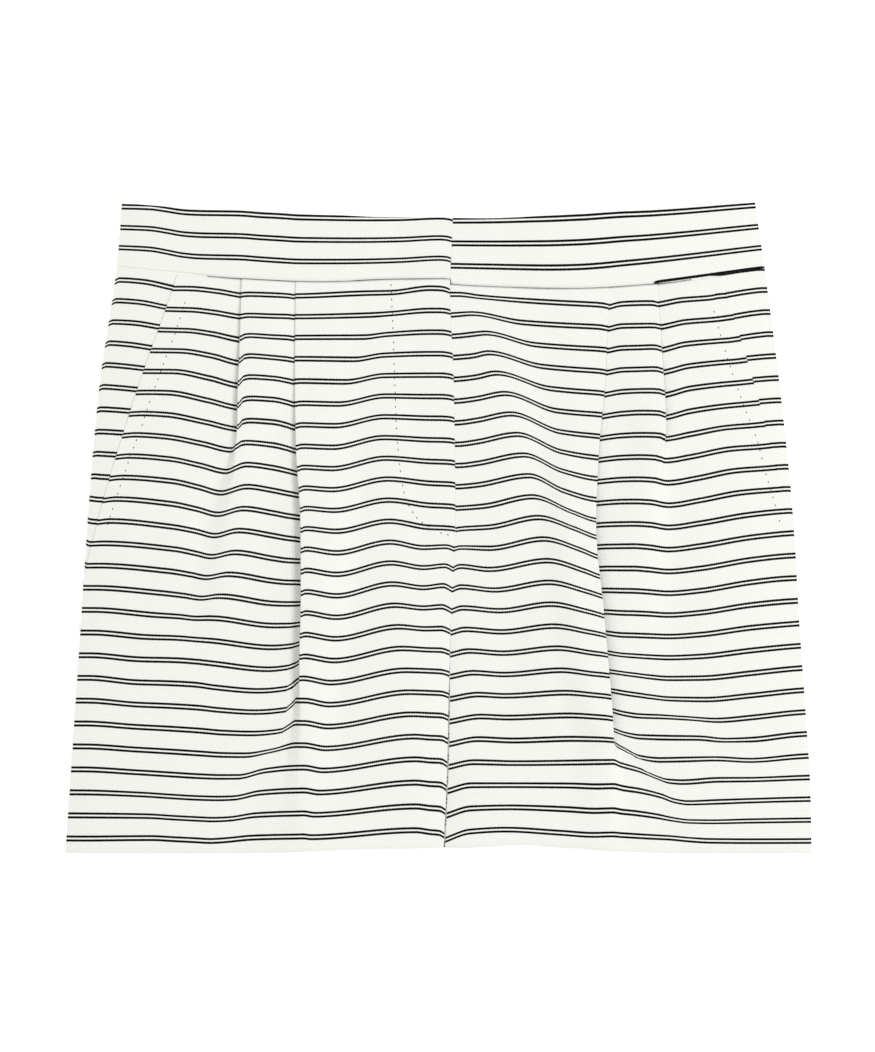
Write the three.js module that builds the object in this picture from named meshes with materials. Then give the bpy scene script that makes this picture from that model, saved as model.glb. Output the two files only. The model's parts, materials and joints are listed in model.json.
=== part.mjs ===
// Tailored shorts with a fly front and two knife pleats in each front, laid flat on their back.
// Millimetres. +X runs to the wearer's left side, +Y runs up to the waist, +Z is up off the table.
// Each sewn piece is a thin closed wall: its middle surface is worked out as rows of points,
// and the wall is those points moved out along the surface's normals, both ways.
import * as THREE from 'three';

// Driving sizes
const CLOTH = 1.2;                // wall of a cloth panel
const BAND = 1.6;                 // wall of the waistband: two plies and an interlining
const GAP = 0.3;                  // clearance at a seam and between layers
const LAYER = CLOTH + GAP;        // from the middle of one layer to the middle of the next
const HEM_Y = -195;               // hem at the side seams
const WAIST_Y = 195;              // top of the waistband at the side seams
const SEAM_Y = 150;               // waistband seam, on average
const CROTCH_Y = -97;             // where the two legs part
const FLY_END_Y = -6;             // where the fly opening ends in the centre seam
const FLY_LAP = 9;                // how far the under front runs in below the fly
const PUFF = 1.8;                 // how far the front stands off its side seams
const SIDE_ROLL = 14;             // distance over which the front rises from a side seam
const LEG_ROLL = 7;               // the same beside the groove between the legs
const FACING_LAP = 18;            // how far the pocket facing runs in below the front
const EDGE_Z = 1.5 * CLOTH + GAP; // middle of the front wall at a side seam, on the back wall
const LEG_PART = 0.35;            // half the gap between the legs
const BACK_INSET = 0.4;           // how far the back's edges lie inside the front's

// Where each piece starts and ends across the garment. "out" is measured from the middle, outward.
const LEGS = {
  right: {
    sign: -1,
    side: [
      { y: -195, out: 224 }, { y: -55, out: 214.5 }, { y: 5, out: 210.5 },
      { y: 77, out: 204 }, { y: 156, out: 192.5 }, { y: 195, out: 190 },
    ],
    mouth: [{ y: -31, out: 213 }, { y: 3, out: 205 }, { y: 160, out: 153.5 }],
    mouthEnd: -31,
    pleats: [
      [
        { y: -195, edge: 175, tuck: -26, rise: 0.3 }, { y: -80, edge: 150, tuck: -26, rise: 0.3 },
        { y: -40, edge: 139, tuck: -21, rise: 1.6 }, { y: 0, edge: 130, tuck: -16, rise: 2.5 },
        { y: 28, edge: 125, tuck: -10, rise: 3.2 }, { y: 46, edge: 122, tuck: -4, rise: 3.8 },
        { y: 60, edge: 120.6, tuck: 2, rise: 3.9 }, { y: 80, edge: 120.3, tuck: 6, rise: 3.6 },
        { y: 105, edge: 119.3, tuck: 10, rise: 3.2 }, { y: 160, edge: 117.6, tuck: 12, rise: 3 },
      ],
      [
        { y: -195, edge: 88.5, tuck: -16, rise: 1.6 }, { y: -150, edge: 85.5, tuck: -12, rise: 2.8 },
        { y: -115, edge: 83.7, tuck: -8, rise: 4 }, { y: -98, edge: 83.3, tuck: -2, rise: 4.6 },
        { y: -80, edge: 83.2, tuck: 4, rise: 4.9 }, { y: -40, edge: 82.3, tuck: 9, rise: 5 },
        { y: 5, edge: 82.6, tuck: 12, rise: 4.7 }, { y: 50, edge: 85.3, tuck: 14, rise: 3.8 },
        { y: 90, edge: 86, tuck: 14, rise: 3.1 }, { y: 160, edge: 85.4, tuck: 14, rise: 3 },
      ],
    ],
  },
  left: {
    sign: 1,
    side: [
      { y: -195, out: 224 }, { y: -55, out: 216.5 }, { y: 5, out: 213 },
      { y: 77, out: 205.5 }, { y: 156, out: 195 }, { y: 195, out: 190 },
    ],
    mouth: [{ y: -8, out: 214 }, { y: 11, out: 208.5 }, { y: 76, out: 191.5 }, { y: 160, out: 166.5 }],
    mouthEnd: -8,
    pleats: [
      [
        { y: -195, edge: 150, tuck: -26, rise: 0.3 }, { y: -80, edge: 130, tuck: -26, rise: 0.3 },
        { y: -35, edge: 128, tuck: -20, rise: 1.3 }, { y: 3, edge: 129, tuck: -16, rise: 2.3 },
        { y: 30, edge: 132, tuck: -10, rise: 3.1 }, { y: 47, edge: 134.7, tuck: -4, rise: 3.6 },
        { y: 61, edge: 136.2, tuck: 2, rise: 3.7 }, { y: 78, edge: 135.8, tuck: 6, rise: 3.5 },
        { y: 102, edge: 134.2, tuck: 9, rise: 3.2 }, { y: 160, edge: 130.5, tuck: 12, rise: 3 },
      ],
      [
        { y: -195, edge: 104.2, tuck: -16, rise: 1.6 }, { y: -155, edge: 105, tuck: -11, rise: 2.9 },
        { y: -136, edge: 105, tuck: -5, rise: 3.9 }, { y: -120, edge: 104.6, tuck: 3, rise: 4.6 },
        { y: -90, edge: 102.4, tuck: 8, rise: 4.6 }, { y: -50, edge: 98.9, tuck: 10, rise: 4.4 },
        { y: 5, edge: 94.2, tuck: 12, rise: 4 }, { y: 50, edge: 96, tuck: 14, rise: 3.4 },
        { y: 90, edge: 99.6, tuck: 14, rise: 3.1 }, { y: 160, edge: 102.4, tuck: 14, rise: 3 },
      ],
    ],
  },
};

// The fly edge, then the centre seam, then the line between the legs
const CENTRE = [
  { y: -195, x: 3.5 }, { y: -140, x: 5.8 }, { y: -60, x: 7.2 }, { y: -10, x: 9.4 },
  { y: 0, x: 10.3 }, { y: 90, x: 9.2 }, { y: 145, x: 7 }, { y: 195, x: 8.6 },
];

// The level edges: hem, top of the waistband, and its seam on each front
const HEM = [
  { x: -224, y: -195 }, { x: -119, y: -195 }, { x: -40, y: -192.4 }, { x: 4, y: -191.7 },
  { x: 52, y: -190 }, { x: 79, y: -191.6 }, { x: 105, y: -193.6 }, { x: 152, y: -195 }, { x: 224, y: -195 },
];
const WAIST_TOP = {
  right: [{ x: -190, y: 195 }, { x: -144, y: 190.6 }, { x: -83, y: 187.9 }, { x: 18, y: 186.6 }],
  left: [
    { x: -3, y: 186 }, { x: 9, y: 185.5 }, { x: 28, y: 185.3 }, { x: 65, y: 187.2 },
    { x: 121, y: 190.4 }, { x: 190, y: 195 },
  ],
  back: [
    { x: -190, y: 194.6 }, { x: -144, y: 190.2 }, { x: -83, y: 187.5 }, { x: 0, y: 185.4 },
    { x: 65, y: 186.2 }, { x: 121, y: 189.8 }, { x: 190, y: 194.6 },
  ],
};
const WAIST_SEAM = {
  right: [
    { x: -195, y: 157.2 }, { x: -154, y: 153 }, { x: -119, y: 150.1 }, { x: -70, y: 148.2 },
    { x: -29, y: 149.8 }, { x: 10, y: 150.2 },
  ],
  left: [
    { x: -3, y: 147.6 }, { x: 24, y: 145.7 }, { x: 79, y: 144.2 }, { x: 131, y: 147 },
    { x: 167, y: 151.8 }, { x: 196, y: 156 },
  ],
  back: [
    { x: -195, y: 157 }, { x: -119, y: 151 }, { x: 0, y: 148 }, { x: 119, y: 151 }, { x: 196, y: 156 },
  ],
};

// Soft troughs and ridges of the fronts: each runs from its head to its foot, as a bell across
const RIPPLES = {
  right: [
    { name: 'pocket sag', headX: -150, headY: 120, footX: -160, footY: -70, width: 20, lift: 1.2 },
    { name: 'outer trough', headX: -126, headY: 70, footX: -150, footY: -90, width: 11, lift: -1.5 },
    { name: 'inner trough', headX: -64, headY: 110, footX: -60, footY: -200, width: 12, lift: -1.3 },
    { name: 'front ridge', headX: -32, headY: 130, footX: -14, footY: -215, width: 17, lift: 2.2 },
    { name: 'hem trough', headX: -98, headY: -95, footX: -126, footY: -215, width: 13, lift: -1.4 },
  ],
  left: [
    { name: 'front ridge', headX: 28, headY: 155, footX: 86, footY: -190, width: 20, lift: 2.6 },
    { name: 'inner trough', headX: 76, headY: 100, footX: 30, footY: -150, width: 13, lift: -1.4 },
    { name: 'outer trough', headX: 143, headY: 70, footX: 136, footY: -110, width: 13, lift: -1.5 },
    { name: 'pocket sag', headX: 168, headY: 110, footX: 178, footY: -120, width: 20, lift: 1.2 },
    { name: 'hem trough', headX: 112, headY: -120, footX: 152, footY: -215, width: 14, lift: -1.5 },
  ],
};

// How finely the walls are divided
const ROWS = 20;
const OUTER_COLUMNS = 6;
const BETWEEN_COLUMNS = 5;
const CENTRE_COLUMNS = 11;
const BEND_STEPS = 4;
const TUCK_STEPS = 2;
const BAND_COLUMNS = 14;
const BAND_ROWS = 2;
const FACING_ROWS = 10;
const FACING_COLUMNS = 4;
const BACK_COLUMNS = 8;
const BACK_ROWS = 9;

const clamp = THREE.MathUtils.clamp;
const lerp = THREE.MathUtils.lerp;
const smoothstep = THREE.MathUtils.smoothstep;

// A smooth curve through a table's rows: column "value" as a function of column "along"
function curve(rows, along, value) {
  const at = rows.map((row) => row[along]);
  const to = rows.map((row) => row[value]);
  const last = rows.length - 1;
  const slope = rows.map((row, i) => {
    const a = Math.max(i - 1, 0);
    const b = Math.min(i + 1, last);
    return (to[b] - to[a]) / (at[b] - at[a]);
  });
  return (where) => {
    const p = clamp(where, at[0], at[last]);
    let i = 0;
    while (i < last - 1 && p > at[i + 1]) i += 1;
    const span = at[i + 1] - at[i];
    const t = (p - at[i]) / span;
    const u = 1 - t;
    return to[i] * u * u * (1 + 2 * t) + to[i + 1] * t * t * (3 - 2 * t)
      + span * t * u * (slope[i] * u - slope[i + 1] * t);
  };
}

const centreX = curve(CENTRE, 'y', 'x');
const hemY = curve(HEM, 'x', 'y');
const waistTopY = {};
const seamY = {};
for (const part of ['right', 'left', 'back']) {
  waistTopY[part] = curve(WAIST_TOP[part], 'x', 'y');
  seamY[part] = curve(WAIST_SEAM[part], 'x', 'y');
}
for (const leg of Object.values(LEGS)) {
  leg.sideOut = curve(leg.side, 'y', 'out');
  leg.mouthOut = curve(leg.mouth, 'y', 'out');
  leg.pleatAt = leg.pleats.map((rows) => ({
    edge: curve(rows, 'y', 'edge'),
    tuck: curve(rows, 'y', 'tuck'),
    rise: curve(rows, 'y', 'rise'),
  }));
}

// Height of the front's middle surface where it is a single layer, without its ripples
function bed(legName, x, y) {
  const leg = LEGS[legName];
  const toSide = Math.max(leg.sideOut(y) - leg.sign * x, 0);
  const toCentre = Math.abs(x - centreX(y));
  const grooveShare = 1 - smoothstep(y, CROTCH_Y, FLY_END_Y);
  const fromSide = 1 - Math.exp(-toSide / SIDE_ROLL);
  const fromGroove = 1 - grooveShare * Math.exp(-toCentre / LEG_ROLL);
  return EDGE_Z + PUFF * fromSide * fromGroove;
}

// The ripples' height, dying away at the side seam, at the waistband and in the groove
function ripple(legName, x, y) {
  const leg = LEGS[legName];
  let height = 0;
  for (const fold of RIPPLES[legName]) {
    const along = clamp((fold.headY - y) / (fold.headY - fold.footY), 0, 1);
    const middle = lerp(fold.headX, fold.footX, along);
    const strength = smoothstep(along, 0, 0.3) * (1 - smoothstep(along, 0.72, 1));
    height += fold.lift * strength * Math.exp(-(((x - middle) / fold.width) ** 2));
  }
  const toSide = Math.max(leg.sideOut(y) - leg.sign * x, 0);
  const toCentre = Math.abs(x - centreX(y));
  return height * smoothstep(toSide, 0, 25) * smoothstep(toCentre, 0, 12);
}

// A pleat's cross-section: cloth runs in below the fold edge, turns back, and turns in again on top.
// It gives offsets from its first point, where its fold edge shows, and how far across it reaches.
function pleatSection(tuck, rise) {
  const across = -tuck;
  const tight = LAYER / 2;
  const loose = Math.max((0.2 * (across * across + rise * rise)) / rise, tight);
  const radius = lerp(tight, loose, smoothstep(across, 0, 8));
  const up = rise - 2 * radius;
  const straight = Math.sqrt(Math.max(across * across + up * up - 4 * radius * radius, 0));
  const turn = Math.atan2(up, across) + Math.atan2(2 * radius, straight);
  const points = [];
  const bend = (angle) => ({ x: radius * Math.sin(angle), z: radius * (1 - Math.cos(angle)) });
  for (let i = 1; i <= BEND_STEPS; i += 1) points.push(bend((turn * i) / BEND_STEPS));
  const inner = bend(turn);
  for (let i = 1; i <= TUCK_STEPS; i += 1) {
    const far = (straight * i) / TUCK_STEPS;
    points.push({ x: inner.x + far * Math.cos(turn), z: inner.z + far * Math.sin(turn) });
  }
  for (let i = BEND_STEPS - 1; i >= 0; i -= 1) {
    const left = bend((turn * i) / BEND_STEPS);
    points.push({ x: across - left.x, z: rise - left.z });
  }
  const edge = turn > Math.PI / 2 ? across - radius : inner.x + straight * Math.cos(turn);
  return { points, edge, across };
}

// One row of a front from its outer edge to the centre: "q" runs inward and "stack" is how far
// the layers below raise the cloth
function frontRow(legName, y) {
  const leg = LEGS[legName];
  const row = [];
  const overMouth = smoothstep(y, leg.mouthEnd - 26, leg.mouthEnd);
  const side = -leg.sideOut(y);
  const start = y > leg.mouthEnd ? Math.max(-leg.mouthOut(y), side) : side;
  const lap = (q) => LAYER * overMouth * (1 - smoothstep(q - start, FACING_LAP + 2, FACING_LAP + 20));
  const stretch = (from, to, columns, stack) => {
    for (let i = 1; i <= columns; i += 1) {
      const q = lerp(from, to, i / columns);
      row.push({ q, stack: stack(q) });
    }
  };
  row.push({ q: start, stack: lap(start) });
  let reached = start;
  let carried = lap;
  leg.pleatAt.forEach((pleat, n) => {
    const rise = pleat.rise(y);
    const tuck = pleat.tuck(y);
    const section = pleatSection(tuck, rise);
    const first = -pleat.edge(y) - section.edge;
    stretch(reached, first, n === 0 ? OUTER_COLUMNS : BETWEEN_COLUMNS, carried);
    const base = carried(first);
    for (const point of section.points) row.push({ q: first + point.x, stack: base + point.z });
    reached = first + section.across;
    const from = reached;
    const flat = Math.max(tuck, 0) + 2;
    carried = (q) => (base + rise) * (1 - smoothstep(q - from, flat, flat + 24));
  });
  const centre = -leg.sign * centreX(y);
  const onTop = legName === 'right';
  const flyShare = smoothstep(y, FLY_END_Y - 40, FLY_END_Y - 10);
  const partHere = lerp(LEG_PART, GAP / 2, smoothstep(y, CROTCH_Y - 25, CROTCH_Y));
  const lapHere = smoothstep(y, FLY_END_Y + 8, FLY_END_Y + 18) * FLY_LAP;
  const end = centre - partHere + (onTop ? 0 : lapHere);
  const onLap = (q) => carried(q) + (onTop ? LAYER * flyShare * smoothstep(q, end - 26, end - 11) : 0);
  stretch(reached, end, CENTRE_COLUMNS, onLap);
  return row;
}

// A closed wall about a grid of points, each moved both ways along the surface's normal.
// The grid's first index runs down the garment and its second one runs to +X.
function wall(grid, thickness) {
  const rows = grid.length;
  const columns = grid[0].length;
  const positions = [];
  for (const side of [1, -1]) {
    for (let i = 0; i < rows; i += 1) {
      for (let j = 0; j < columns; j += 1) {
        const right = grid[i][Math.min(j + 1, columns - 1)].clone().sub(grid[i][Math.max(j - 1, 0)]);
        const down = grid[Math.min(i + 1, rows - 1)][j].clone().sub(grid[Math.max(i - 1, 0)][j]);
        const normal = down.cross(right).normalize();
        positions.push(...grid[i][j].clone().addScaledVector(normal, (side * thickness) / 2).toArray());
      }
    }
  }
  const upper = (i, j) => i * columns + j;
  const lower = (i, j) => rows * columns + upper(i, j);
  const triangles = [];
  const quad = (a, b, c, d) => triangles.push(a, b, c, a, c, d);
  for (let i = 0; i < rows - 1; i += 1) {
    for (let j = 0; j < columns - 1; j += 1) {
      quad(upper(i, j), upper(i + 1, j), upper(i + 1, j + 1), upper(i, j + 1));
      quad(lower(i, j), lower(i, j + 1), lower(i + 1, j + 1), lower(i + 1, j));
    }
  }
  for (let j = 0; j < columns - 1; j += 1) {
    quad(upper(0, j), upper(0, j + 1), lower(0, j + 1), lower(0, j));
    quad(upper(rows - 1, j + 1), upper(rows - 1, j), lower(rows - 1, j), lower(rows - 1, j + 1));
  }
  for (let i = 0; i < rows - 1; i += 1) {
    const last = columns - 1;
    quad(upper(i + 1, 0), upper(i, 0), lower(i, 0), lower(i + 1, 0));
    quad(upper(i, last), upper(i + 1, last), lower(i + 1, last), lower(i, last));
  }
  const geometry = new THREE.BufferGeometry();
  geometry.setAttribute('position', new THREE.Float32BufferAttribute(positions, 3));
  geometry.setIndex(triangles);
  geometry.computeVertexNormals();
  return geometry;
}

// A grid of points, from rows of shares down the piece and a function that gives each row's points
function gridOf(rows, rowAt, mirrored) {
  const grid = [];
  for (let i = 0; i <= rows; i += 1) {
    const points = rowAt(i / rows);
    grid.push(mirrored ? points.reverse() : points);
  }
  return grid;
}

// A row's real y at x: level rows in the middle of the garment, and its true edges at both ends
function levelY(seam, x, share) {
  const top = seam(x) - GAP / 2;
  const level = lerp(SEAM_Y, HEM_Y, share);
  const topShare = (1 - share) ** 2;
  const hemShare = share ** 3;
  return level + (top - SEAM_Y) * topShare + (hemY(x) - HEM_Y) * hemShare;
}

function frontWall(legName) {
  const leg = LEGS[legName];
  const grid = gridOf(ROWS, (share) => {
    const row = frontRow(legName, lerp(SEAM_Y, HEM_Y, share));
    return row.map(({ q, stack }) => {
      const x = -leg.sign * q;
      const y = levelY(seamY[legName], x, share);
      const z = bed(legName, x, y) + ripple(legName, x, y) + stack;
      return new THREE.Vector3(x, y, z);
    });
  }, legName === 'left');
  return wall(grid, CLOTH);
}

// The piece that shows between the pocket mouth and the side seam, and runs in below the front
function facingWall(legName) {
  const leg = LEGS[legName];
  const bottom = leg.mouthEnd + 2;
  const grid = gridOf(FACING_ROWS, (share) => {
    const level = lerp(SEAM_Y, bottom, share);
    const outer = -leg.sideOut(level);
    const inner = Math.max(-leg.mouthOut(level), outer) + FACING_LAP;
    const row = [];
    for (let i = 0; i <= FACING_COLUMNS; i += 1) {
      const x = -leg.sign * lerp(outer, inner, i / FACING_COLUMNS);
      const top = seamY[legName](x) - GAP / 2 - SEAM_Y;
      const y = level + top * (1 - share);
      row.push(new THREE.Vector3(x, y, bed(legName, x, y) + ripple(legName, x, y)));
    }
    return row;
  }, legName === 'left');
  return wall(grid, CLOTH);
}

// A front half of the waistband. The wearer's right half laps over the left one at the fly.
function frontBandWall(legName) {
  const leg = LEGS[legName];
  const onTop = legName === 'right';
  const lift = (BAND - CLOTH) * 1.5;
  const grid = gridOf(BAND_ROWS, (share) => {
    const level = lerp(WAIST_Y, SEAM_Y, share);
    const outer = -leg.sideOut(level);
    const inner = -leg.sign * centreX(level);
    const row = [];
    const place = (q, seam) => {
      const x = -leg.sign * q;
      const y = lerp(waistTopY[legName](x), seam(x) + GAP / 2, share);
      const overPleats = 1.4 * smoothstep(q - outer, 30, 70) * (1 - smoothstep(q, inner - 55, inner - 30));
      const lap = onTop ? (BAND + GAP) * smoothstep(q, inner - 40, inner - 14) : 0;
      row.push(new THREE.Vector3(x, y, bed(legName, x, y) + lift + overPleats + lap));
    };
    const reach = onTop ? inner : inner - 1;
    for (let i = 0; i <= BAND_COLUMNS; i += 1) place(lerp(outer, reach, i / BAND_COLUMNS), seamY[legName]);
    if (!onTop) for (const lap of [-GAP / 2, FLY_LAP]) place(inner + lap, seamY.right);
    return row;
  }, legName === 'left');
  return wall(grid, BAND);
}

// The flat pieces of the back, which the shorts lie on
function backWall(legName) {
  const leg = LEGS[legName];
  const grid = gridOf(BACK_ROWS, (share) => {
    const level = lerp(SEAM_Y, HEM_Y, share);
    const outer = leg.sign * (leg.sideOut(level) - BACK_INSET);
    const part = lerp(LEG_PART, GAP / 2, smoothstep(level, CROTCH_Y - 25, CROTCH_Y));
    const inner = centreX(level) + leg.sign * part;
    const row = [];
    for (let i = 0; i <= BACK_COLUMNS; i += 1) {
      const x = lerp(outer, inner, i / BACK_COLUMNS);
      const y = levelY(seamY.back, x, share) + BACK_INSET * share - GAP / 2;
      row.push(new THREE.Vector3(x, y, CLOTH / 2));
    }
    return row;
  }, legName === 'left');
  return wall(grid, CLOTH);
}

function backBandWall() {
  const grid = gridOf(BAND_ROWS, (share) => {
    const level = lerp(WAIST_Y, SEAM_Y, share);
    const first = -LEGS.right.sideOut(level) + BACK_INSET;
    const last = LEGS.left.sideOut(level) - BACK_INSET;
    const row = [];
    for (let i = 0; i <= 2 * BAND_COLUMNS; i += 1) {
      const x = lerp(first, last, i / (2 * BAND_COLUMNS));
      const y = lerp(waistTopY.back(x), seamY.back(x) + GAP, share);
      row.push(new THREE.Vector3(x, y, BAND / 2));
    }
    return row;
  }, false);
  return wall(grid, BAND);
}

// The named sub-parts
function piece(name, geometry, colour) {
  const material = new THREE.MeshStandardMaterial({ color: colour, roughness: 0.85, metalness: 0 });
  const mesh = new THREE.Mesh(geometry, material);
  mesh.name = name;
  return mesh;
}

const IVORY = 0xf1f2ed;
const IVORY_SHADE = 0xe6e7e0;
const shorts = new THREE.Group();
shorts.add(
  piece('back_right_leg', backWall('right'), IVORY_SHADE),
  piece('back_left_leg', backWall('left'), IVORY_SHADE),
  piece('back_waistband', backBandWall(), IVORY_SHADE),
  piece('pocket_facing_right', facingWall('right'), IVORY),
  piece('pocket_facing_left', facingWall('left'), IVORY),
  piece('front_right_leg', frontWall('right'), IVORY),
  piece('front_left_leg', frontWall('left'), IVORY),
  piece('front_waistband_right', frontBandWall('right'), IVORY),
  piece('front_waistband_left', frontBandWall('left'), IVORY),
);

export default shorts;
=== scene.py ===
import json
import math

import bpy
import numpy as np
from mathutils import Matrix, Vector

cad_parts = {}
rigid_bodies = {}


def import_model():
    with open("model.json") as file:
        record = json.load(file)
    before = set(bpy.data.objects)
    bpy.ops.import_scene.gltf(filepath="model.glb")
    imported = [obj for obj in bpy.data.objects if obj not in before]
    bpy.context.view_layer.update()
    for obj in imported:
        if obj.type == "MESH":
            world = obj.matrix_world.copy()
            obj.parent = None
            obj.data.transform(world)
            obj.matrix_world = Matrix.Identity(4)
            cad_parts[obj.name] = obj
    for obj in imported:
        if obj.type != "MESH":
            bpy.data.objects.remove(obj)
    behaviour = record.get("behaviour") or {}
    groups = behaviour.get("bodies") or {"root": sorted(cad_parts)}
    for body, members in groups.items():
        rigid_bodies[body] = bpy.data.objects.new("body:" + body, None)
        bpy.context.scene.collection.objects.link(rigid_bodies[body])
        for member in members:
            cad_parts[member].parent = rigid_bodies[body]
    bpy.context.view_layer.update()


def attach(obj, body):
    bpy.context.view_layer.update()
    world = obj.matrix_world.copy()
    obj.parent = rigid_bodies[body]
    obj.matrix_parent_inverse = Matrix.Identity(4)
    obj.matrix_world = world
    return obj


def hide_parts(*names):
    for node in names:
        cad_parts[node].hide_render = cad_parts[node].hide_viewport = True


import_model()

# Table top, light and camera
# A plain white light table, a soft lamp from the right, one overhead and a pale room.
# The shorts lie on their back and are seen from straight above, waist up.
PHOTO_HEIGHT = 1052             # the photo's longer side, pixels
PIXEL = 0.6                     # millimetres of cloth in one pixel of the photo
MIDDLE_X, MIDDLE_Y = -0.6, 1.5  # the photo's middle on the cloth, millimetres
MM = 0.001


def deselect():
    for other in bpy.context.scene.objects:
        other.select_set(False)


def take_new(name):
    """The primitive that was just added, named, with its place put into its mesh"""
    made = bpy.context.object
    made.name = made.data.name = name
    bpy.ops.object.transform_apply(location=True, rotation=True, scale=True)
    return made


deselect()
bpy.ops.mesh.primitive_plane_add(size=8, location=(0, 0, -0.0003))
table_top = take_new("table_top")
white = bpy.data.materials.new("white_table_top")
white.use_nodes = True
for key, value in {"Base Color": (0.97, 0.97, 0.97, 1), "Roughness": 0.9,
                   "Emission Color": (1, 1, 1, 1), "Emission Strength": 0.25}.items():
    white.node_tree.nodes["Principled BSDF"].inputs[key].default_value = value
table_top.data.materials.append(white)

scene = bpy.context.scene
scene.view_settings.view_transform = "Standard"
room = bpy.data.worlds.new("pale_room")
room.use_nodes = True
room.node_tree.nodes["Background"].inputs["Color"].default_value = (1.0, 0.96, 0.91, 1)
room.node_tree.nodes["Background"].inputs["Strength"].default_value = 0.68
scene.world = room

LAMPS = [
    {"name": "key", "at": (2.2, 0.4, 2.7), "size": 1.5, "watts": 58},
    {"name": "overhead", "at": (-0.8, 0.3, 2.6), "size": 1.6, "watts": 16},
]
for row in LAMPS:
    deselect()
    bpy.ops.object.light_add(type="AREA", location=row["at"])
    lamp = bpy.context.object
    lamp.name = row["name"]
    lamp.data.shape, lamp.data.size, lamp.data.energy = "SQUARE", row["size"], row["watts"]
    lamp.data.color = (0.97, 0.985, 1.0)
    lamp.rotation_euler = (-Vector(row["at"])).to_track_quat("-Z", "Y").to_euler()

DISTANCE = 2.5       # from the table top to the camera, metres
FOLD_TOP = 0.004     # height at which the photo's scale holds, metres
SENSOR = 36
deselect()
bpy.ops.object.camera_add(location=(MIDDLE_X * MM, MIDDLE_Y * MM, DISTANCE), rotation=(0, 0, 0))
camera = bpy.context.object
camera.data.sensor_width = SENSOR
camera.data.lens = SENSOR * (DISTANCE - FOLD_TOP) / (PHOTO_HEIGHT * PIXEL * MM)
camera.data.clip_start = 0.1
scene.camera = camera

# Back of the two legs
# One flat piece of ribbed cotton for each leg, seamed down the middle and between the legs.
# They lie on the table top and carry the rest. All of the cloth's finish is made here.
WALL = 1.2           # the solids' walls, whose middle surfaces the cloth follows
GAP = 0.3            # between two pieces, at their seam
HEM_Y, SEAM_Y = -195, 150
SIDE = {
    "right": {"y": (-195, -55, 5, 77, 156, 195), "out": (224, 214.5, 210.5, 204, 192.5, 190)},
    "left": {"y": (-195, -160, -110, -55, 5, 77, 156, 195),
             "out": (224, 223.4, 220.4, 216.5, 213, 205.5, 195, 190)},
}
SIGN = {"right": -1, "left": 1}
CENTRE = {"y": (-195, -140, -60, -10, 0, 90, 145, 195), "x": (3.5, 5.8, 7.2, 9.4, 10.3, 9.2, 7, 8.6)}
HEM = {"x": (-224, -119, -40, 4, 52, 79, 105, 152, 224),
       "y": (-195, -195, -192.4, -191.7, -190, -191.6, -193.6, -195, -195)}
WAIST_SEAM = {
    "right": {"x": (-195, -154, -119, -70, -29, 10), "y": (157.2, 153, 150.1, 148.2, 149.8, 150.2)},
    "left": {"x": (-3, 24, 79, 131, 167, 196), "y": (147.6, 145.7, 144.2, 147, 151.8, 156)},
    "back": {"x": (-195, -119, 0, 119, 196), "y": (157, 151, 148, 151, 156)},
}


def through(at, to, where):
    """A smooth line through a table's values that never swings past them"""
    where = np.asarray(where, float)
    at = np.broadcast_to(np.asarray(at, float), where.shape + (np.shape(at)[-1],))
    to = np.broadcast_to(np.asarray(to, float), at.shape)
    step = np.diff(at, axis=-1)
    rise = np.diff(to, axis=-1) / step
    before, after = rise[..., :-1], rise[..., 1:]
    both = before + after
    level = before * after <= 0
    inner = np.where(level, 0, 2 * before * after / np.where(level, 1, both))
    slope = np.concatenate([rise[..., :1], inner, rise[..., -1:]], axis=-1)
    held = np.clip(where, at[..., 0], at[..., -1])
    place = np.clip((held[..., None] >= at).sum(-1) - 1, 0, at.shape[-1] - 2)[..., None]

    def pick(values, shift=0):
        return np.take_along_axis(values, place + shift, -1)[..., 0]

    t = (held - pick(at)) / pick(step)
    u = 1 - t
    bend = pick(step) * t * u * (pick(slope) * u - pick(slope, 1) * t)
    return pick(to) * u * u * (1 + 2 * t) + pick(to, 1) * t * t * (3 - 2 * t) + bend


def side_out(leg, y):
    return through(SIDE[leg]["y"], SIDE[leg]["out"], y)


def centre_x(y):
    return through(CENTRE["y"], CENTRE["x"], y)


def seam_y(part, x):
    return through(WAIST_SEAM[part]["x"], WAIST_SEAM[part]["y"], x)


def level_y(part, x, share):
    """Height on the garment of a row's point: level in the middle, true at the seam and the hem"""
    top = seam_y(part, x) - GAP / 2
    hem = through(HEM["x"], HEM["y"], x)
    return SEAM_Y + (HEM_Y - SEAM_Y) * share + (top - SEAM_Y) * (1 - share) ** 2 + (hem - HEM_Y) * share**3


class Wire:
    """A shader's value that takes part in sums"""

    def __init__(self, finish, socket):
        self.finish, self.socket = finish, socket

    def sum(self, operation, *values):
        return self.finish.add("ShaderNodeMath", {"operation": operation}, dict(enumerate(values)))

    def __add__(self, other):
        return self.sum("ADD", self, other)

    def __sub__(self, other):
        return self.sum("SUBTRACT", self, other)

    def __rsub__(self, other):
        return self.sum("SUBTRACT", other, self)

    def __mul__(self, other):
        return self.sum("MULTIPLY", self, other)

    def __truediv__(self, other):
        return self.sum("DIVIDE", self, other)

    __radd__, __rmul__ = __add__, __mul__


class Finish:
    """A material, its nodes added one by one"""

    def __init__(self, name):
        self.material = bpy.data.materials.new(name)
        self.material.use_nodes = True
        self.tree = self.material.node_tree
        self.skin = self.tree.nodes["Principled BSDF"]

    def add(self, kind, settings, sockets, output=0):
        node = self.tree.nodes.new(kind)
        for key, value in settings.items():
            setattr(node, key, value)
        self.fill(node, sockets)
        return Wire(self, node.outputs[output])

    def fill(self, node, sockets):
        for key, value in sockets.items():
            if isinstance(value, Wire):
                self.tree.links.new(value.socket, node.inputs[key])
            else:
                node.inputs[key].default_value = value


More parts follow.
